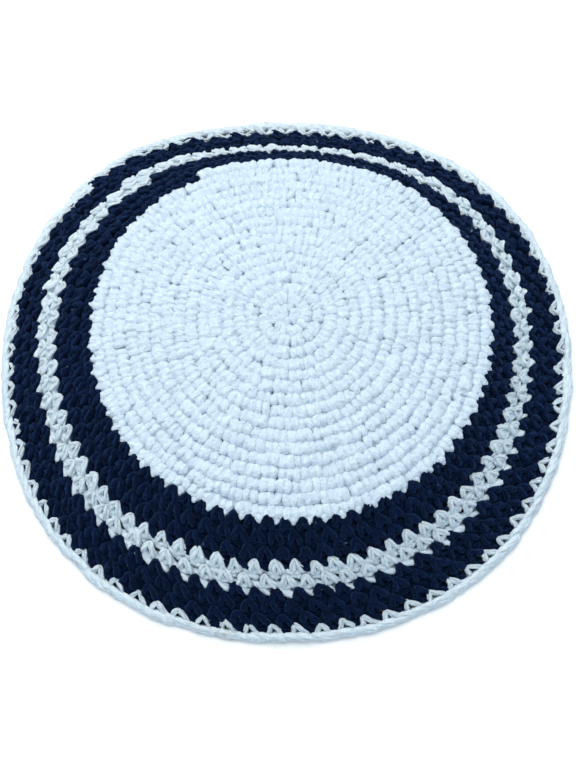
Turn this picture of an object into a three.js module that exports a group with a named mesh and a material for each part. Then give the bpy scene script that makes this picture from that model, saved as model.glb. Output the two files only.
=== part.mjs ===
// A crocheted skullcap lying on its rim. A white crown, a navy band, a white band, another navy band and
// a white edging are worked outwards from the middle in one spiral of rounds, and lie as one soft shell
// that is open below for the head.
// Millimetres, +Z up. The origin is on the ground, in the middle of the space that the rim takes up.

import * as THREE from 'three';
import { mergeVertices } from 'three/addons/utils/BufferGeometryUtils.js';

// Driving dimensions
const rimRadius = 95; // middle of the cap to the nose of the edging
const rimHeight = 1.6; // ground to the nose of the edging
const shoulderRadius = 64.2; // middle of the crown to the shoulder, where the crown ends
const shoulderHeight = 25.2; // ground to the shoulder
const crownRise = 9.6; // shoulder to the top of the crown
const wall = 3.3; // thickness of the crochet, from the crest of a round to the inside
const grooveDepth = 0.8; // depth of the groove between two rounds
const pieceGap = 0.3; // clearance between two colours

// The spiral: a groove moves out by one round in a turn, and each colour's edge steps back at its join
const joinAngle = 119; // degrees from +X towards +Y, where the white crown ends
const joinDrift = 2; // degrees by which the join moves on from one round to the next
const runOutAngle = 14; // degrees over which the last stitches of the edging run out

// How the lying cap departs from round: three low lobes and four, one of each towards these directions
const trefoilTowards = 28; // degrees from +X towards +Y
const squareTowards = 45;

const facets = 60; // round the cap
const crownInsideStep = 2; // rounds between two corners of the inside of a section of the crown
const bandInsideStep = 1; // the same in the pieces of the skirt
const leastStep = 0.2; // of a round, the closest that two corners of a section come

const white = new THREE.Color(0.72, 0.8, 0.88);
const navy = new THREE.Color(0.012, 0.016, 0.048);

// The pieces from the middle outwards, each with the place of its outer edge. reach and fall are shares of
// the skirt's width and height, from the shoulder to the rim. aside, trefoil and square are shares of the
// rim's radius: how far the edge sits towards +X, and how high its three and four lobes are.
const pieces = [
  { name: 'crown', colour: white, rounds: 17,
    reach: 0, fall: 0, aside: 0.0155, trefoil: 0.011, square: 0.008 },
  { name: 'inner_navy_band', colour: navy, rounds: 3,
    reach: 0.355, fall: 0.395, aside: -0.0035, trefoil: 0.017, square: 0.013 },
  { name: 'white_band', colour: white, rounds: 2,
    reach: 0.56, fall: 0.63, aside: -0.006, trefoil: 0.018, square: 0.016 },
  { name: 'outer_navy_band', colour: navy, rounds: 3,
    reach: 0.88, fall: 0.95, aside: -0.001, trefoil: 0.0165, square: 0.0175 },
  { name: 'edging', colour: white, rounds: 1,
    reach: 1, fall: 1, aside: 0, trefoil: 0.0105, square: 0.0145 },
];
let roundsSoFar = 0;
for (const piece of pieces) {
  piece.first = roundsSoFar;
  roundsSoFar += piece.rounds;
  piece.last = roundsSoFar;
}
const crown = pieces[0];
const edging = pieces.at(-1);

// Rounds by which an edge is further out than its mean at this angle
function spiralShift(edge, angle) {
  const drift = joinDrift * (edge - crown.last);
  const fromJoin = THREE.MathUtils.euclideanModulo(angle - joinAngle - drift, 360);
  return (drift + fromJoin) / 360 - 0.5;
}

// The same for the rim, whose last stitches run out to where its first one began
function rimShift(angle) {
  const drift = joinDrift * (edging.last - crown.last);
  const toJoin = 360 - THREE.MathUtils.euclideanModulo(angle - joinAngle - drift, 360);
  const begun = drift / 360 - 0.5;
  return THREE.MathUtils.lerp(begun, spiralShift(edging.last, angle), Math.min(1, toJoin / runOutAngle));
}

// Half a section through the outside of the cap: radius and height after so many rounds
function profile(round) {
  if (round <= crown.last) {
    const share = round / crown.last;
    return new THREE.Vector2(shoulderRadius * share, shoulderHeight + crownRise * (1 - share ** 2));
  }
  const { reach, fall } = atRound(round);
  return new THREE.Vector2(
    THREE.MathUtils.lerp(shoulderRadius, rimRadius, reach),
    THREE.MathUtils.lerp(shoulderHeight, rimHeight, fall),
  );
}

// The table's columns between two edges. reach and fall run on past the rim, the lobes stay as they are there
function atRound(round) {
  const piece = pieces.find(({ last }) => last > crown.last && round <= last) ?? edging;
  const before = pieces[pieces.indexOf(piece) - 1];
  const share = (round - piece.first) / piece.rounds;
  const held = THREE.MathUtils.clamp(share, 0, 1);
  const between = (column, along) => THREE.MathUtils.lerp(before[column], piece[column], along);
  return {
    reach: between('reach', share),
    fall: between('fall', share),
    aside: between('aside', held),
    trefoil: between('trefoil', held),
    square: between('square', held),
  };
}

// A point of the cap, so deep below the crest surface. What would be below the ground lies flat on it
function capPoint(round, angle, depth) {
  const along = profile(round + 1).sub(profile(round - 1)).normalize();
  const inwards = new THREE.Vector2(along.y, -along.x);
  const { x: radius, y: height } = profile(round).add(inwards.multiplyScalar(depth));
  const { aside, trefoil, square } = atRound(round);
  const lobes = trefoil * Math.cos(THREE.MathUtils.degToRad(3 * (angle - trefoilTowards)))
    + square * Math.cos(THREE.MathUtils.degToRad(4 * (angle - squareTowards)));
  const direction = THREE.MathUtils.degToRad(angle);
  return new THREE.Vector3(
    radius * (1 + lobes) * Math.cos(direction) + rimRadius * aside,
    radius * (1 + lobes) * Math.sin(direction),
    Math.max(height, 0),
  );
}

// One section of a piece: the corners of its outside and of its inside, both from the middle outwards
function section(piece, angle) {
  const gapRounds = (edge) => pieceGap / 2 / profile(edge + 0.5).distanceTo(profile(edge - 0.5));
  const start = piece === crown ? 0 : piece.first + spiralShift(piece.first, angle) + gapRounds(piece.first);
  const end = piece === edging
    ? piece.last + rimShift(angle)
    : piece.last + spiralShift(piece.last, angle) - gapRounds(piece.last);
  const corner = (round, depth) => ({ round, point: capPoint(round, angle, depth) });
  const inPiece = (round) => round > start + leastStep && round < end - leastStep;

  const outside = [corner(start, piece === crown ? 0 : grooveDepth)];
  const firstGroove = THREE.MathUtils.euclideanModulo(angle - joinAngle, 360) / 360 + 0.5;
  for (let groove = firstGroove; groove < end; groove += 1) {
    if (inPiece(groove)) outside.push(corner(groove, grooveDepth));
    if (inPiece(groove + 0.5)) outside.push(corner(groove + 0.5, 0));
  }
  outside.push(corner(end, piece === edging ? 0 : grooveDepth));

  const inside = [corner(start, wall)];
  const insideStep = piece === crown ? crownInsideStep : bandInsideStep;
  for (let round = piece.first; round < end; round += insideStep) {
    if (inPiece(round)) inside.push(corner(round, wall));
  }
  inside.push(corner(end, wall));
  return { outside, inside };
}

// Triangles between two rows of corners, stepping each time to the corner that comes first
function zip(row, next) {
  const triangles = [];
  let here = 0;
  let there = 0;
  while (here < row.length - 1 || there < next.length - 1) {
    const stepHere = there === next.length - 1
      || (here < row.length - 1 && row[here + 1].round <= next[there + 1].round);
    if (stepHere) {
      triangles.push([row[here], row[here + 1], next[there]]);
      here += 1;
    } else {
      triangles.push([row[here], next[there + 1], next[there]]);
      there += 1;
    }
  }
  return triangles;
}

// One closed body: neighbouring sections are joined outside, inside, and across both ends of the wall
function buildPiece(piece) {
  const sections = [];
  for (let station = 0; station < facets; station += 1) {
    sections.push(section(piece, (station * 360) / facets));
  }
  const triangles = [];
  sections.forEach((here, station) => {
    const next = sections[(station + 1) % facets];
    triangles.push(...zip(here.outside, next.outside));
    triangles.push(...zip(here.inside, next.inside).map(([a, b, c]) => [a, c, b]));
    triangles.push([here.outside.at(-1), here.inside.at(-1), next.inside.at(-1)]);
    triangles.push([here.outside.at(-1), next.inside.at(-1), next.outside.at(-1)]);
    triangles.push([here.inside[0], here.outside[0], next.outside[0]]);
    triangles.push([here.inside[0], next.outside[0], next.inside[0]]);
  });
  const positions = triangles.flat().flatMap(({ point }) => point.toArray());
  const geometry = new THREE.BufferGeometry();
  geometry.setAttribute('position', new THREE.Float32BufferAttribute(positions, 3));
  return withoutSlivers(mergeVertices(geometry));
}

// Drops the triangles that have two corners in one place, as at the top of the crown
function withoutSlivers(geometry) {
  const corners = Array.from(geometry.index.array);
  const kept = [];
  for (let first = 0; first < corners.length; first += 3) {
    const [a, b, c] = corners.slice(first, first + 3);
    if (a !== b && b !== c && c !== a) kept.push(a, b, c);
  }
  geometry.setIndex(kept);
  geometry.computeVertexNormals();
  return geometry;
}

const cap = new THREE.Group();
for (const piece of pieces) {
  const yarn = new THREE.MeshStandardMaterial({ color: piece.colour, roughness: 0.9, metalness: 0 });
  const mesh = new THREE.Mesh(buildPiece(piece), yarn);
  mesh.name = piece.name;
  cap.add(mesh);
}

// The lobes put the rim's middle a little aside, so the cap is moved back over the origin
const middle = new THREE.Box3().setFromObject(cap).getCenter(new THREE.Vector3());
cap.position.set(-middle.x, -middle.y, 0);

export default cap;
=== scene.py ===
"""A crocheted skullcap lying on its rim, built stitch by stitch from strands of cotton yarn.

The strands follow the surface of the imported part: its rounds, its spiral and its low lobes. Each stitch has
two legs, a top loop and a bar on the inside, as single crochet has. Metres, +Z up.
"""

import copy
import math

import bpy
import numpy as np
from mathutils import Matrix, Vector


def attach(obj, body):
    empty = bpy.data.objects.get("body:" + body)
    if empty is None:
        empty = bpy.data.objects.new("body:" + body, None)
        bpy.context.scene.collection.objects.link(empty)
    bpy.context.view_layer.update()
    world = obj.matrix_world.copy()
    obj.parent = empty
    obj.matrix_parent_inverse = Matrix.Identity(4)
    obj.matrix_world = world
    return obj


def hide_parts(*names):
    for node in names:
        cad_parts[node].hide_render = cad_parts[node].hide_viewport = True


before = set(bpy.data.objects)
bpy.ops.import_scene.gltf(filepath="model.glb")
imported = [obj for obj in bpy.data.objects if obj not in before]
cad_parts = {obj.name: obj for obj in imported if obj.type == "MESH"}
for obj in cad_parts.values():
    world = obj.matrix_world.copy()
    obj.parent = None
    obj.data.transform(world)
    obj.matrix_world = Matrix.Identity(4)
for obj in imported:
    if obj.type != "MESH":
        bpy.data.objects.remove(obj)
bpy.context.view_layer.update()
SEED = 2607
rng = np.random.default_rng(SEED)

# The part's own sizes, in millimetres and degrees
RIM_RADIUS = 95.0
RIM_HEIGHT = 1.6
SHOULDER_RADIUS = 64.2
SHOULDER_HEIGHT = 25.2
CROWN_RISE = 9.6
JOIN_ANGLE = 119.0
JOIN_DRIFT = 2.0
RUN_OUT_ANGLE = 14.0
TREFOIL_TOWARDS = 28.0
SQUARE_TOWARDS = 45.0
CAP_SHIFT = (-1.055, 0.099)  # puts the middle of the rim's outline over the origin

# The edges between the colours: rounds from the middle, shares of the skirt's width and height, and the lobes
EDGE = np.array([17.0, 20.0, 22.0, 25.0, 26.0])
REACH = np.array([0.0, 0.355, 0.56, 0.88, 1.0])
FALL = np.array([0.0, 0.395, 0.63, 0.95, 1.0])
ASIDE = np.array([0.0155, -0.0035, -0.006, -0.001, 0.0])
TREFOIL = np.array([0.011, 0.017, 0.018, 0.0165, 0.0105])
SQUARE = np.array([0.008, 0.013, 0.016, 0.0175, 0.0145])

# How the stitches are counted: five more in each round of the crown, then as many in every turn
INCREASE = 5.0
LAST_INCREASE = 15.4
STITCHES_A_TURN = 79.4
INCREASED_STITCHES = INCREASE / 2 * (LAST_INCREASE**2 + LAST_INCREASE)
TURNS_TO_RIM = 11  # enough turns after the last increase to pass the rim

# The stitches lean most, and are longest, on the side of the cap in this direction, in degrees
NEAR_SIDE = 300.0

# How long the stitches are on the far side, as shares of their length on the near side
BAND_REACH = 0.78
FIRST_ROUND_REACH = 0.62
RIM_REACH = 0.84
TOOTH_REACH = 0.9

# How much thicker the bands' stitches are on the far side, and how much their legs spread there below this
# place in the round
FATTER = 0.16
BROADER = 1.6
FOOT_TOP = 0.6

# How many rounds inside its own round a stitch starts to lean
LEAN_START = 0.2

# The shortest that the last stitches of the edging get, as a share of a round
SHORTEST_RUN_OUT = 0.22

# The closest that a stitch starts and that a strand comes to the middle of the cap, in rounds
CLOSEST_START = 0.1
CLOSEST_POINT = 0.2

# How high a strand's middle stays above the ground, as a share of its radius
GROUND_SHARE = 0.97

# How much one stitch differs from the next in each way: across in stitches, along in rounds, out in
# millimetres, the others as shares
UNEVEN_ACROSS = 0.045
UNEVEN_ALONG = 0.05
UNEVEN_WIDTH = 0.09
UNEVEN_OUT = 0.13
UNEVEN_THICKNESS = 0.05
UNEVEN_TONE = 0.15

# Near the middle of the cap, first turns and then values: how unevenly the stitches lean, how thick they are
UNEVEN_LEAN = ((1.0, 5.0), (0.25, 0.06))
MIDDLE_THICKNESS = ((0.5, 3.5), (0.75, 1.0))

# How much a strand wanders within its stitch, in the same measures, and the share of that in slow waves
WANDER_ACROSS = 0.02
WANDER_ALONG = 0.03
WANDER_OUT = 0.1
WANDER_THICKNESS = 0.05
WAVE_SHARE = 0.8

# The stitches' tone in the crown and in the bands, from -1 for light to 1 for dark. It is painted shade that
# makes the crown darker and painted light that makes the bands lighter, though both are the same yarn
CROWN_PAINTED_SHADE = 0.95
BAND_PAINTED_LIGHT = -0.3


def run_on(column, rounds):
    """A column of the edge table between the edges. It runs on past the rim at the last edge's slope."""
    beyond = np.maximum(rounds - EDGE[-1], 0.0)
    return np.interp(rounds, EDGE, column) + beyond * (column[-1] - column[-2])


def profile(rounds):
    """Radius and height of the cap's outside after so many rounds."""
    share = rounds / EDGE[0]
    reach = run_on(REACH, rounds)
    fall = run_on(FALL, rounds)
    on_crown = rounds <= EDGE[0]
    radius = np.where(
        on_crown,
        SHOULDER_RADIUS * share,
        SHOULDER_RADIUS + (RIM_RADIUS - SHOULDER_RADIUS) * reach,
    )
    height = np.where(
        on_crown,
        SHOULDER_HEIGHT + CROWN_RISE * (1 - share**2),
        SHOULDER_HEIGHT + (RIM_HEIGHT - SHOULDER_HEIGHT) * fall,
    )
    return radius, height


def on_cap(rounds, degrees, out, least_height):
    """Points of the cap in metres, so many millimetres out from its surface and never below least_height."""
    radius, height = profile(rounds)
    ahead, behind = profile(rounds + 1), profile(rounds - 1)
    along = np.stack([ahead[0] - behind[0], ahead[1] - behind[1]], -1)
    along /= np.linalg.norm(along, axis=-1, keepdims=True)
    radius = radius - along[..., 1] * out
    height = height + along[..., 0] * out
    turned = np.radians(degrees)
    lobes = np.interp(rounds, EDGE, TREFOIL) * np.cos(3 * (turned - math.radians(TREFOIL_TOWARDS)))
    lobes = lobes + np.interp(rounds, EDGE, SQUARE) * np.cos(4 * (turned - math.radians(SQUARE_TOWARDS)))
    radius = radius * (1 + lobes)
    x = radius * np.cos(turned) + RIM_RADIUS * np.interp(rounds, EDGE, ASIDE) + CAP_SHIFT[0]
    y = radius * np.sin(turned) + CAP_SHIFT[1]
    return np.stack([x, y, np.maximum(height, least_height)], -1) * 0.001


def turn_of(count):
    """How many turns of the spiral the first so many stitches take."""
    middle = (np.sqrt(1 + 8 * np.minimum(count, INCREASED_STITCHES) / INCREASE) - 1) / 2
    return middle + np.maximum(count - INCREASED_STITCHES, 0) / STITCHES_A_TURN


def rim_shift(degrees):
    """Rounds by which the rim is further out than its mean, with the last stitches running out."""
    drift = JOIN_DRIFT * (EDGE[-1] - EDGE[0])
    from_join = (degrees - JOIN_ANGLE - drift) % 360
    begun = drift / 360 - 0.5
    share = np.minimum(1.0, (360 - from_join) / RUN_OUT_ANGLE)
    return begun + ((drift + from_join) / 360 - 0.5 - begun) * share


def colour_change(edge):
    """The turn of the spiral at which the colour changes at an edge."""
    return edge + JOIN_DRIFT * (edge - EDGE[0]) / 360


def shortened(near, far_share):
    """1 on the near side of the cap, falling to far_share on the far side."""
    return far_share + (1 - far_share) * near


class Stitches:
    """The stitches between two turns of the spiral, with the small differences from one to the next. near
    is 1 on the near side of the cap and 0 on the far side."""

    def __init__(self, start, end, lean):
        last = int(INCREASED_STITCHES + STITCHES_A_TURN * TURNS_TO_RIM)
        turns = turn_of(np.arange(last) + 0.5)
        turns = turns[(turns >= start) & (turns < end)]
        count = len(turns)
        in_bands = turns > EDGE[0]
        self.turn = turns
        self.angle = JOIN_ANGLE + 360 * turns
        self.pitch = 360 / np.where(turns < LAST_INCREASE, INCREASE * (turns + 0.5), STITCHES_A_TURN)
        self.height = np.ones(count)
        if end > EDGE[-1]:
            rim = EDGE[-1] + rim_shift(self.angle) - (turns - 0.5)
            self.height = np.clip(rim, SHORTEST_RUN_OUT, 1.0)
        draw = rng.normal(0, 1, (7, count)).clip(-2, 2)
        self.aside = UNEVEN_ACROSS * draw[0]
        self.along = UNEVEN_ALONG * draw[1]
        self.spread = 1 + UNEVEN_WIDTH * draw[2]
        self.proud = UNEVEN_OUT * draw[3]
        self.near = 0.5 + 0.5 * np.cos(np.radians(self.angle - NEAR_SIDE))
        self.lean = lean * self.near + draw[4] * np.interp(turns, *UNEVEN_LEAN)
        self.reach = np.where(in_bands, shortened(self.near, BAND_REACH), 1.0)
        first_round = in_bands & (turns < start + 1)
        self.reach = np.where(first_round, shortened(self.near, FIRST_ROUND_REACH), self.reach)
        if end > EDGE[-1]:
            self.reach = shortened(self.near, RIM_REACH)
        self.broad = np.where(in_bands, 1 - self.near, 0.0)
        self.fat = (1 + UNEVEN_THICKNESS * draw[5]) * np.interp(turns, *MIDDLE_THICKNESS)
        self.fat *= 1 + FATTER * self.broad
        # Painted shading: the crown's stitches are painted darker and the bands' stitches lighter, on top of
        # each stitch's random tone.
        self.tone = np.where(in_bands, BAND_PAINTED_LIGHT, CROWN_PAINTED_SHADE) + UNEVEN_TONE * draw[6]
        self.tone = np.clip(self.tone, -1, 1)

    def only(self, chosen):
        """Some of these stitches."""
        some = copy.copy(self)
        for key, value in vars(self).items():
            if isinstance(value, np.ndarray):
                setattr(some, key, value[chosen])
        return some


def smooth_through(points, samples):
    """A smooth line through the points, taken at so many places."""
    points = np.asarray(points, float)
    padded = np.vstack([2 * points[0] - points[1], points, 2 * points[-1] - points[-2]])
    place = np.linspace(0, len(points) - 1, samples)
    first = np.minimum(place.astype(int), len(points) - 2)
    t = (place - first)[:, None]
    a, b, c, d = (padded[first + k] for k in range(4))
    curve = (2 * a - 5 * b + 4 * c - d) * t**2 + (3 * b - 3 * c + d - a) * t**3
    return 0.5 * (2 * b + (c - a) * t + curve)


def wavy(kinds, strands, samples):
    """Slow waves along each strand, with a place and a length of their own."""
    place = np.linspace(0, 1, samples)
    begin = rng.uniform(0, 1, (kinds, strands, 1))
    waves = rng.uniform(1.2, 3.2, (kinds, strands, 1))
    return np.sin(2 * np.pi * (begin + waves * place))


def lay_strand(stitches, line, thick, samples, leaning=False):
    """Lays one strand in every stitch. line has places across the stitch, along the round and out, and thick
    the strand's radius at each. A leaning strand follows the slant of its stitch and spreads at its foot.
    Returns the centre points and the radii, in metres."""
    line = smooth_through(line, samples)
    thick = smooth_through(np.asarray(thick, float)[:, None], samples)[:, 0]
    strands = len(stitches.turn)
    own = rng.normal(0, 1, (4, strands, 1)).clip(-2, 2)
    own = own + WAVE_SHARE * wavy(4, strands, samples)
    across = line[None, :, 0] * stitches.spread[:, None] + stitches.aside[:, None] + WANDER_ACROSS * own[0]
    if leaning:
        foot = BROADER * line[None, :, 0] * np.clip(FOOT_TOP - line[None, :, 1], 0, 1)
        across = across + stitches.broad[:, None] * foot
        across = across + stitches.lean[:, None] * (line[None, :, 1] + LEAN_START)
    ahead = 0.5 + (line[None, :, 1] - 0.5) * stitches.reach[:, None]
    ahead = ahead * stitches.height[:, None] + stitches.along[:, None] + WANDER_ALONG * own[1]
    out = line[None, :, 2] + stitches.proud[:, None] + WANDER_OUT * own[2]
    radius = thick[None, :] * (stitches.fat[:, None] + WANDER_THICKNESS * own[3])
    start = np.maximum(stitches.turn[:, None] - 0.5, CLOSEST_START)
    rounds = np.maximum(start + ahead, CLOSEST_POINT)
    degrees = stitches.angle[:, None] + across * stitches.pitch[:, None]
    return on_cap(rounds, degrees, out, radius * GROUND_SHARE), radius * 0.001


# The length of one full twist of the yarn, in metres. A ply is how far out a thread lies in the yarn and how
# thick it is, as shares of the yarn's radius
TWIST_LENGTH = 0.018
HARD_PLY = (0.47, 0.56)
SOFT_PLY = (0.33, 0.71)

# The waves that make the yarn lumpy: their directions, where they start, and about how far apart they swell
LUMP_WAVES = 14
LUMP_WAYS = rng.normal(0, 1, (LUMP_WAVES, 3))
LUMP_WAYS *= rng.uniform(0.6, 1.5, (LUMP_WAVES, 1)) / np.linalg.norm(LUMP_WAYS, axis=1, keepdims=True)
LUMP_STARTS = rng.uniform(0, 2 * np.pi, LUMP_WAVES)
LUMP_SIZE = 0.0025


def lumpy(points):
    """A smooth random value at each point, with swells about LUMP_SIZE apart."""
    waves = np.sin(points @ LUMP_WAYS.T * (2 * np.pi / LUMP_SIZE) + LUMP_STARTS)
    return waves.sum(-1) / math.sqrt(LUMP_WAVES / 2)


def unit(vectors):
    return vectors / np.maximum(np.linalg.norm(vectors, axis=-1, keepdims=True), 1e-12)


class YarnMesh:
    """Gathers strands and makes them one mesh, with a map along and round each strand."""

    def __init__(self):
        self.points = []
        self.corners = []
        self.sizes = []
        self.maps = []
        self.tones_and_painted_shading = []
        self.total = 0

    def add(
        self, centre, radius, sides, tone, plies=1, ply=HARD_PLY, flute=0.0, squeeze=1.0, lumps=0.05
    ):
        """Adds strands of one form: centre is strands by places by 3, radius strands by places. plies is the
        number of separate threads twisted into the strand, and ply says how they lie. flute is how deep the
        furrows of a soft strand are and lumps how lumpy it is, as shares of its radius, and squeeze is how
        high it is for its width where its neighbours press it flat."""
        strands, places, _ = centre.shape
        ahead = unit(np.gradient(centre, axis=1))
        side = np.empty_like(centre)
        start = np.cross(ahead[:, 0], [0.0, 0.0, 1.0])
        flat = np.linalg.norm(start, axis=-1) < 0.2
        start[flat] = np.cross(ahead[flat, 0], [1.0, 0.0, 0.0])
        side[:, 0] = unit(start)
        for place in range(1, places):
            carried = side[:, place - 1]
            carried = carried - (carried * ahead[:, place]).sum(-1, keepdims=True) * ahead[:, place]
            side[:, place] = unit(carried)
        other = np.cross(ahead, side)
        side, other = side * (1, 1, squeeze), other * (1, 1, squeeze)
        step = np.linalg.norm(np.diff(centre, axis=1), axis=-1)
        length = np.concatenate([np.zeros((strands, 1)), np.cumsum(step, axis=1)], axis=1)
        length += rng.uniform(0, 1, (strands, 1)) * TWIST_LENGTH
        twist = 2 * np.pi * length / TWIST_LENGTH
        if plies == 1:
            self.tube(centre, radius, side, other, twist, length, sides, flute, lumps, tone)
            return
        for number in range(plies):
            turned = twist + 2 * np.pi * number / plies
            offset = side * np.cos(turned)[..., None] + other * np.sin(turned)[..., None]
            middle = centre + offset * (ply[0] * radius)[..., None]
            thick = radius * ply[1] * rng.uniform(0.9, 1.1, (strands, 1))
            self.tube(middle, thick, side, other, 0 * twist, length + 0.1 * number, sides, flute, lumps, tone)

    def tube(self, centre, radius, side, other, twist, length, sides, flute, lumps, tone):
        """Adds the skin of one tube for each strand, closed at both ends. Every third side is a furrow."""
        strands, places, _ = centre.shape
        turned = twist[:, :, None] + 2 * np.pi * np.arange(sides) / sides
        ring = side[:, :, None] * np.cos(turned)[..., None] + other[:, :, None] * np.sin(turned)[..., None]
        furrow = 1 - flute * (np.arange(sides) % 3 == 0)
        reach = radius[:, :, None] * furrow
        points = centre[:, :, None] + ring * reach[..., None]
        points = points + ring * (reach * lumps * lumpy(points))[..., None]
        number = np.arange(strands * places * sides).reshape(strands, places, sides) + self.total
        here, there = number[:, :-1], number[:, 1:]
        quads = np.stack([here, np.roll(here, -1, 2), np.roll(there, -1, 2), there], -1).reshape(-1, 4)
        along = np.repeat(length[:, :, None], sides, 2)
        low, high = along[:, :-1], along[:, 1:]
        left = np.broadcast_to(np.arange(sides) / sides, low.shape)
        right = left + 1 / sides
        quad_maps = np.stack([low, left, low, right, high, right, high, left], -1).reshape(-1, 2)
        ends = np.concatenate([number[:, 0, ::-1], number[:, -1]])
        end_maps = np.zeros((ends.size, 2))
        end_maps[:, 0] = np.repeat(np.concatenate([length[:, 0], length[:, -1]]), sides)

        self.points.append(points.reshape(-1, 3))
        self.corners += [quads.ravel(), ends.ravel()]
        self.sizes += [np.full(len(quads), 4), np.full(len(ends), sides)]
        self.maps += [quad_maps, end_maps]
        self.tones_and_painted_shading.append(np.repeat(tone, places * sides))
        self.total += strands * places * sides

    def make(self, name, material):
        """The gathered strands as an object."""
        points = np.concatenate(self.points)
        corners = np.concatenate(self.corners)
        sizes = np.concatenate(self.sizes)
        mesh = bpy.data.meshes.new(name)
        mesh.vertices.add(len(points))
        mesh.vertices.foreach_set("co", points.astype(np.float32).ravel())
        mesh.loops.add(len(corners))
        mesh.loops.foreach_set("vertex_index", corners.astype(np.int32))
        mesh.polygons.add(len(sizes))
        mesh.polygons.foreach_set("loop_start", (np.cumsum(sizes) - sizes).astype(np.int32))
        mesh.polygons.foreach_set("use_smooth", np.ones(len(sizes), bool))
        layer = mesh.uv_layers.new(name="strand")
        layer.uv.foreach_set("vector", np.concatenate(self.maps).astype(np.float32).ravel())
        # Each stitch's random tone, with the painted shade of the crown and the painted light of the bands.
        tone = mesh.attributes.new("stitch_tone_and_painted_shading", "FLOAT", "POINT")
        tone.data.foreach_set("value", np.concatenate(self.tones_and_painted_shading).astype(np.float32))
        mesh.update()
        mesh.validate()
        mesh.materials.append(material)
        made = bpy.data.objects.new(name, mesh)
        bpy.context.scene.collection.objects.link(made)
        return made


# The lines of the strands in a stitch. Across is in stitches towards the next one, ahead in rounds outwards
# from the inner edge of the round, and out in millimetres from the crest of the part's surface.
CROWN_LEG = [
    (0.00, -0.10, -1.8),
    (0.13, -0.02, -1.15),
    (0.21, 0.16, -0.62),
    (0.245, 0.38, -0.38),
    (0.26, 0.59, -0.6),
    (0.26, 0.78, -1.25),
    (0.26, 0.92, -2.05),
]
CROWN_LEG_RADII = [1.15, 1.44, 1.68, 1.83, 1.70, 1.42, 1.0]
CROWN_TOOTH = [
    (0.08, 0.60, -1.5),
    (0.08, 0.82, -1.15),
    (0.09, 1.00, -0.85),
    (0.10, 1.15, -0.7),
    (0.10, 1.27, -0.8),
]
CROWN_TOOTH_RADII = [1.7, 1.9, 1.55, 1.05, 0.6]
BAND_LEG = [
    (0.00, -0.20, -0.8),
    (0.07, -0.09, -0.6),
    (0.15, 0.13, -0.6),
    (0.23, 0.40, -0.85),
    (0.28, 0.64, -1.4),
    (0.28, 0.84, -2.4),
]
BAND_LEG_RADII = [0.88, 1.0, 1.13, 1.2, 1.15, 0.9]
HIDDEN_LOOP = [
    (-0.50, 0.74, -2.5),
    (-0.38, 0.84, -2.1),
    (-0.12, 0.94, -1.8),
    (0.14, 1.00, -1.7),
    (0.35, 1.04, -1.8),
    (0.49, 1.02, -2.3),
    (0.44, 0.96, -2.9),
    (0.15, 0.94, -3.0),
    (-0.2, 0.88, -2.9),
    (-0.5, 0.80, -2.5),
]
TOOTH_LOOP = [
    (-0.50, 0.72, -2.6),
    (-0.40, 0.80, -2.1),
    (-0.18, 0.94, -1.6),
    (0.08, 1.10, -1.4),
    (0.32, 1.26, -1.4),
    (0.47, 1.28, -1.9),
    (0.44, 1.10, -2.8),
    (0.15, 0.98, -3.0),
    (-0.2, 0.90, -3.0),
    (-0.5, 0.80, -2.6),
]
LOOP_RADII = [0.6, 0.95, 1.15, 1.22, 1.15, 1.0, 0.95, 0.95, 0.9, 0.6]
BACK_BAR = [
    (-0.58, 0.20, -2.1),
    (-0.30, 0.42, -2.25),
    (0.0, 0.60, -2.3),
    (0.30, 0.42, -2.25),
    (0.58, 0.20, -2.1),
]
BACK_BAR_RADII = [1.1, 1.35, 1.45, 1.35, 1.1]
WHITE_BAR = [
    (-0.58, 0.46, -1.8),
    (-0.30, 0.60, -1.65),
    (0.0, 0.72, -1.6),
    (0.30, 0.60, -1.65),
    (0.58, 0.46, -1.8),
]
WHITE_BAR_RADII = [1.1, 1.25, 1.3, 1.25, 1.1]
CROWN_BAR = [
    (-0.58, 0.14, -1.75),
    (-0.30, 0.40, -1.6),
    (0.0, 0.60, -1.5),
    (0.30, 0.40, -1.6),
    (0.58, 0.14, -1.75),
]
CROWN_BAR_RADII = [1.5, 1.8, 1.9, 1.8, 1.5]
RIM_LEG = [
    (0.00, -0.31, -0.75),
    (0.07, -0.20, -0.5),
    (0.16, 0.03, -0.45),
    (0.25, 0.25, -0.75),
    (0.32, 0.48, -1.6),
]
RIM_LEG_RADII = [0.75, 0.84, 0.92, 0.95, 0.8]
RIM_FRONT = [
    (-0.92, 0.48, -1.7),
    (-0.60, 0.50, -0.95),
    (-0.18, 0.55, -0.5),
    (0.25, 0.61, -0.48),
    (0.65, 0.67, -0.85),
    (0.96, 0.70, -1.6),
]
RIM_FRONT_RADII = [0.8, 1.0, 1.08, 1.08, 1.0, 0.8]
RIM_BACK = [
    (-0.88, 0.60, -1.6),
    (-0.57, 0.66, -1.15),
    (-0.15, 0.75, -0.95),
    (0.25, 0.81, -0.95),
    (0.62, 0.79, -1.15),
    (0.92, 0.72, -1.6),
]
RIM_BACK_RADII = [0.75, 0.95, 1.0, 1.0, 0.95, 0.75]


def arch(leg, radii):
    """The line and radii of a whole arch, from those of its right leg."""
    leg = np.asarray(leg, float)
    return np.vstack([leg[:0:-1] * (-1, 1, 1), leg]), radii[:0:-1] + radii


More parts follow.
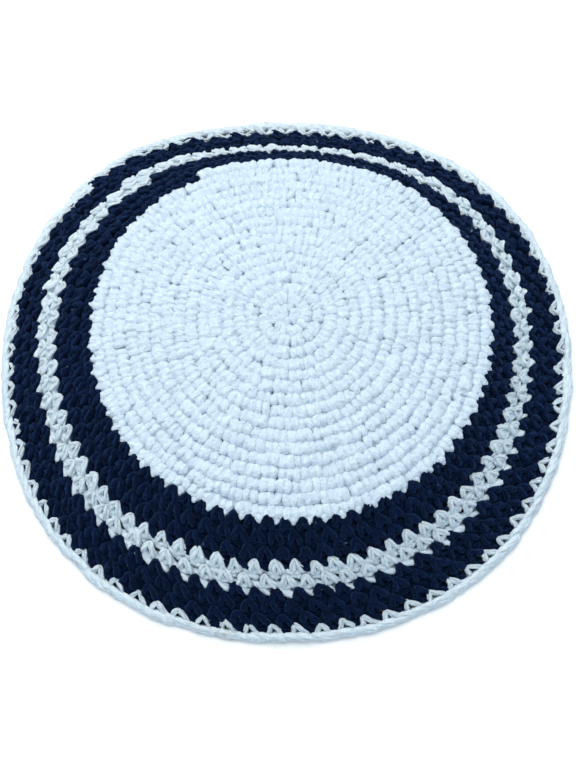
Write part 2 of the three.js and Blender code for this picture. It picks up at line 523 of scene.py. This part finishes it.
def crochet(name, material, start, end, lean, teeth_from):
    """One piece of the cap: every stitch between two turns of the spiral. The top loops of the stitches from
    the turn teeth_from on show as teeth against the next colour."""
    stitches = Stitches(start, end, lean)
    yarn = YarnMesh()
    rim = end > EDGE[-1]
    crown = end <= EDGE[0]
    white = material == white_cotton

    def lay(some, line, radii, samples, sides, leaning=False, **form):
        """Adds one strand in each of these stitches, with so many places along it and sides round it."""
        yarn.add(*lay_strand(some, line, radii, samples, leaning), sides, some.tone, **form)

    if rim:
        lay(stitches, *arch(RIM_LEG, RIM_LEG_RADII), 21, 5, leaning=True, plies=3)
        lay(stitches, RIM_FRONT, RIM_FRONT_RADII, 15, 12, flute=0.3, lumps=0.03)
        lay(stitches, RIM_BACK, RIM_BACK_RADII, 15, 12, flute=0.3, lumps=0.03)
    elif crown:
        lay(stitches, *arch(CROWN_LEG, CROWN_LEG_RADII), 15, 10, leaning=True, squeeze=0.52, lumps=0.16)
    elif white:
        lay(stitches, *arch(BAND_LEG, BAND_LEG_RADII), 19, 5, leaning=True, plies=3)
    else:
        lay(stitches, *arch(BAND_LEG, BAND_LEG_RADII), 19, 9, leaning=True, flute=0.2, lumps=0.11)

    shows = stitches.turn >= teeth_from
    if shows.any() and not rim:
        teeth = stitches.only(shows)
        if crown:
            teeth.reach = shortened(teeth.near, TOOTH_REACH)
            lay(teeth, CROWN_TOOTH, CROWN_TOOTH_RADII, 9, 9, squeeze=0.7)
        else:
            lay(teeth, TOOTH_LOOP, LOOP_RADII, 13, 5, plies=3, ply=SOFT_PLY)
    if not shows.all() and not rim:
        lay(stitches.only(~shows), HIDDEN_LOOP, LOOP_RADII, 9, 5)

    if crown:
        lay(stitches, CROWN_BAR, CROWN_BAR_RADII, 6, 6, squeeze=0.55)
    elif white:
        lay(stitches, WHITE_BAR, WHITE_BAR_RADII, 6, 6, squeeze=0.7)
    else:
        lay(stitches, BACK_BAR, BACK_BAR_RADII, 6, 6)
    return yarn.make(name, material)


# Materials
def wire(tree, source, target):
    tree.links.new(source, target)


def put(tree, kind, **values):
    """A node of that kind. Values are for its sockets by name, or for its own settings."""
    node = tree.nodes.new(kind)
    for key, value in values.items():
        if key in node.bl_rna.properties:
            setattr(node, key, value)
        else:
            node.inputs[key.replace("_", " ")].default_value = value
    return node


def maths(tree, operation, a, b=None):
    node = put(tree, "ShaderNodeMath", operation=operation)
    for socket, value in zip(node.inputs, (a, b)):
        if value is None:
            continue
        if isinstance(value, bpy.types.NodeSocket):
            wire(tree, value, socket)
        else:
            socket.default_value = value
    return node.outputs[0]


def mixed(tree, share, a, b):
    """A colour between a and b, each a socket or a colour."""
    node = put(tree, "ShaderNodeMix", data_type="RGBA")
    sockets = [s for s in node.inputs if s.enabled]
    for socket, value in zip(sockets, (share, a, b)):
        if isinstance(value, bpy.types.NodeSocket):
            wire(tree, value, socket)
        else:
            socket.default_value = value
    return [s for s in node.outputs if s.enabled][0]


def spread(tree, value, low, high):
    """The value stretched, so that low becomes 0 and high 1."""
    node = put(tree, "ShaderNodeMapRange")
    node.inputs["From Min"].default_value = low
    node.inputs["From Max"].default_value = high
    wire(tree, value, node.inputs["Value"])
    return node.outputs[0]


# From which value of its noise each of these starts to show, and from which it shows fully
STREAK_RANGE = (0.62, 0.38)
FUZZ_RANGE = (0.65, 0.4)
LINT_RANGE = (0.845, 0.90)
STAIN_RANGE = (0.4, 0.7)


def cotton_fibre_group():
    """Cotton fibres lying along a thread, from the map along and round it, its fuzz, and specks of lint."""
    group = bpy.data.node_groups.new("cotton fibre", "ShaderNodeTree")
    for name, value in (("Fibre length", 0.004), ("Fineness", 1.1), ("Fuzz size", 0.0015)):
        socket = group.interface.new_socket(name, in_out="INPUT", socket_type="NodeSocketFloat")
        socket.default_value = value
    for name in ("Height", "Streak", "Fuzz", "Lint"):
        group.interface.new_socket(name, in_out="OUTPUT", socket_type="NodeSocketFloat")
    given = group.nodes.new("NodeGroupInput")
    result = group.nodes.new("NodeGroupOutput")
    strand = put(group, "ShaderNodeUVMap", uv_map="strand")
    parts = put(group, "ShaderNodeSeparateXYZ")
    wire(group, strand.outputs[0], parts.inputs[0])
    along = maths(group, "DIVIDE", parts.outputs[0], given.outputs["Fibre length"])
    circle = maths(group, "MULTIPLY", parts.outputs[1], 2 * math.pi)
    circle = maths(group, "ADD", circle, along)
    place = put(group, "ShaderNodeCombineXYZ")
    wire(group, along, place.inputs[0])
    for socket, wave in ((1, "COSINE"), (2, "SINE")):
        side = maths(group, "MULTIPLY", maths(group, wave, circle), given.outputs["Fineness"])
        wire(group, side, place.inputs[socket])
    fibre = put(group, "ShaderNodeTexNoise", Scale=1.6, Detail=4.0, Roughness=0.65)
    wire(group, place.outputs[0], fibre.inputs["Vector"])
    spot = put(group, "ShaderNodeTexCoord")
    fuzz = put(group, "ShaderNodeTexNoise", Detail=3.0, Roughness=0.6)
    wire(group, spot.outputs["Object"], fuzz.inputs["Vector"])
    wire(group, maths(group, "DIVIDE", 1.0, given.outputs["Fuzz size"]), fuzz.inputs["Scale"])
    height = maths(group, "ADD", fibre.outputs[0], fuzz.outputs[0])
    wire(group, height, result.inputs["Height"])
    wire(group, fibre.outputs[0], result.inputs["Streak"])
    wire(group, fuzz.outputs[0], result.inputs["Fuzz"])
    lint = put(group, "ShaderNodeTexNoise", Scale=620.0, Detail=0.0)
    wire(group, spot.outputs["Object"], lint.inputs["Vector"])
    wire(group, spread(group, lint.outputs[0], *LINT_RANGE), result.inputs["Lint"])
    return group


LINT_COLOUR = (0.22, 0.28, 0.38, 1)
STAIN_COLOUR = (0.42, 0.30, 0.17, 1)
STAIN_PLACE = (-0.0185, -0.0925, 0.0015)
STAIN_REACH = 0.0045
STAIN_CORE = 0.3  # the share of its reach within which the stain is full
STAIN_STRENGTH = 0.6
TONE_AND_SHADING_SHARE = 0.35  # how much a stitch's tone and its painted shading darken its colour
SHEEN_TINT = (0.15, 0.40, 1.0, 1)


def stain_share(tree, fuzz):
    """The faint brown stain on the edging, as a share from 0 to 1 that is patchy like the fuzz."""
    spot = put(tree, "ShaderNodeTexCoord")
    far = put(tree, "ShaderNodeVectorMath", operation="DISTANCE")
    wire(tree, spot.outputs["Object"], far.inputs[0])
    far.inputs[1].default_value = STAIN_PLACE
    near = spread(tree, far.outputs["Value"], STAIN_REACH, STAIN_CORE * STAIN_REACH)
    patchy = maths(tree, "MULTIPLY", near, spread(tree, fuzz, *STAIN_RANGE))
    return maths(tree, "MULTIPLY", patchy, STAIN_STRENGTH)


def cotton(name, light, shade, fibres, streaks, fuzz, bump_depth, sheen, lint=0.0):
    """Soft spun cotton. light is the colour of its lit fibres and shade that of the hollows between them.
    streaks and fuzz are how much of each darkens it, bump_depth is in metres, and sheen is how much the
    fibres that stand off it catch the light. Yarn without lint has the stain."""
    material = bpy.data.materials.new(name)
    material.use_nodes = True
    tree = material.node_tree
    tree.nodes.clear()
    surface = put(tree, "ShaderNodeBsdfPrincipled")
    output = put(tree, "ShaderNodeOutputMaterial")
    wire(tree, surface.outputs[0], output.inputs[0])
    yarn = tree.nodes.new("ShaderNodeGroup")
    yarn.node_tree = fibres
    tone = put(tree, "ShaderNodeAttribute", attribute_name="stitch_tone_and_painted_shading")
    streaky = spread(tree, yarn.outputs["Streak"], *STREAK_RANGE)
    fuzzy = spread(tree, yarn.outputs["Fuzz"], *FUZZ_RANGE)
    dark = maths(tree, "MULTIPLY", streaky, streaks)
    dark = maths(tree, "ADD", dark, maths(tree, "MULTIPLY", fuzzy, fuzz))
    # The stitch tone carries painted shade on the crown and painted light on the bands, besides each stitch's
    # random tone.
    dark = maths(tree, "ADD", dark, maths(tree, "MULTIPLY", tone.outputs["Fac"], TONE_AND_SHADING_SHARE))
    colour = mixed(tree, maths(tree, "MINIMUM", dark, 1.0), light, shade)
    if lint:
        share = maths(tree, "MULTIPLY", yarn.outputs["Lint"], lint)
        colour = mixed(tree, share, colour, LINT_COLOUR)
    else:
        colour = mixed(tree, stain_share(tree, yarn.outputs["Fuzz"]), colour, STAIN_COLOUR)
    wire(tree, colour, surface.inputs["Base Color"])
    surface.inputs["Roughness"].default_value = 0.92
    surface.inputs["Specular IOR Level"].default_value = 0.06
    surface.inputs["Sheen Weight"].default_value = sheen
    surface.inputs["Sheen Roughness"].default_value = 0.5
    surface.inputs["Sheen Tint"].default_value = SHEEN_TINT
    bump = put(tree, "ShaderNodeBump", Strength=1.0, Distance=bump_depth)
    wire(tree, yarn.outputs["Height"], bump.inputs["Height"])
    wire(tree, bump.outputs[0], surface.inputs["Normal"])
    return material


fibres = cotton_fibre_group()
white_cotton = cotton(
    "white cotton",
    light=(0.865, 0.96, 1.0, 1),
    shade=(0.63, 0.725, 0.83, 1),
    fibres=fibres,
    streaks=0.3,
    fuzz=0.35,
    bump_depth=0.0008,
    sheen=0.07,
)
navy_cotton = cotton(
    "navy cotton",
    light=(0.0013, 0.0046, 0.031, 1),
    shade=(0.0005, 0.0012, 0.007, 1),
    fibres=fibres,
    streaks=0.4,
    fuzz=0.7,
    bump_depth=0.0012,
    sheen=0.19,
    lint=0.8,
)

# The crown is made in three meshes, split at these rounds
CROWN_SPLITS = (0.0, 9.0, 13.0, EDGE[0])

# How many stitches across the legs lean in one round
CROWN_LEAN = 0.05
BAND_LEAN = 0.27

pieces = []
for place, (start, end) in zip(("middle", "slope", "shoulder"), zip(CROWN_SPLITS, CROWN_SPLITS[1:])):
    made = crochet("crown_" + place, white_cotton, start, end, CROWN_LEAN, EDGE[0] - 1)
    pieces.append((made, "crown", "white_yarn"))
BANDS = (
    ("inner_navy_band", navy_cotton, "navy_yarn"),
    ("white_band", white_cotton, "white_yarn"),
    ("outer_navy_band", navy_cotton, "navy_yarn"),
    ("edging", white_cotton, "white_yarn"),
)
for number, (node, material, slot) in enumerate(BANDS):
    start, end = colour_change(EDGE[number]), colour_change(EDGE[number + 1])
    made = crochet(node + "_stitches", material, start, end, BAND_LEAN, end - 1)
    pieces.append((made, node, slot))
for made, node, slot in pieces:
    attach(made, "root")
    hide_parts(node)


# The stage
FLOOR_REACH = 3.0
FLOOR_COLOUR = (0.98, 0.95, 0.93, 1)
SKY_COLOUR = (0.725, 0.87, 1.0, 1)
SKY_STRENGTH = 0.83


def plain_floor():
    mesh = bpy.data.meshes.new("floor")
    corners = [(x * FLOOR_REACH, y * FLOOR_REACH, 0) for x, y in ((-1, -1), (1, -1), (1, 1), (-1, 1))]
    mesh.from_pydata(corners, [], [(0, 1, 2, 3)])
    floor = bpy.data.objects.new("floor", mesh)
    bpy.context.scene.collection.objects.link(floor)
    material = bpy.data.materials.new("pale floor")
    material.use_nodes = True
    surface = material.node_tree.nodes["Principled BSDF"]
    surface.inputs["Base Color"].default_value = FLOOR_COLOUR
    surface.inputs["Roughness"].default_value = 0.9
    surface.inputs["Specular IOR Level"].default_value = 0.1
    mesh.materials.append(material)


def soft_light(name, place, target, size, power, colour):
    data = bpy.data.lights.new(name, "AREA")
    data.shape = "DISK"
    data.size = size
    data.energy = power
    data.color = colour
    lamp = bpy.data.objects.new(name, data)
    lamp.location = place
    lamp.rotation_mode = "QUATERNION"
    lamp.rotation_quaternion = (Vector(target) - Vector(place)).to_track_quat("-Z", "Y")
    bpy.context.scene.collection.objects.link(lamp)


plain_floor()
world = bpy.data.worlds.new("studio")
world.use_nodes = True
world.node_tree.nodes["Background"].inputs["Color"].default_value = SKY_COLOUR
world.node_tree.nodes["Background"].inputs["Strength"].default_value = SKY_STRENGTH
bpy.context.scene.world = world
soft_light(
    "overhead", (-0.26, 0.52, 1.15), target=(0, 0, 0), size=1.4, power=12.6, colour=(1.0, 0.97, 0.885)
)
bpy.context.scene.view_settings.view_transform = "Standard"

# The camera looks down on the cap as steeply as the photo does, in degrees
ELEVATION = 64.17
CAMERA_PLACE = (0.00045, -0.25565, 0.5146)
LENS = 82.36
camera_data = bpy.data.cameras.new("camera")
camera_data.lens = LENS
camera = bpy.data.objects.new("camera", camera_data)
camera.location = CAMERA_PLACE
camera.rotation_euler = (math.radians(90 - ELEVATION), 0, 0)
bpy.context.scene.collection.objects.link(camera)
bpy.context.scene.camera = camera
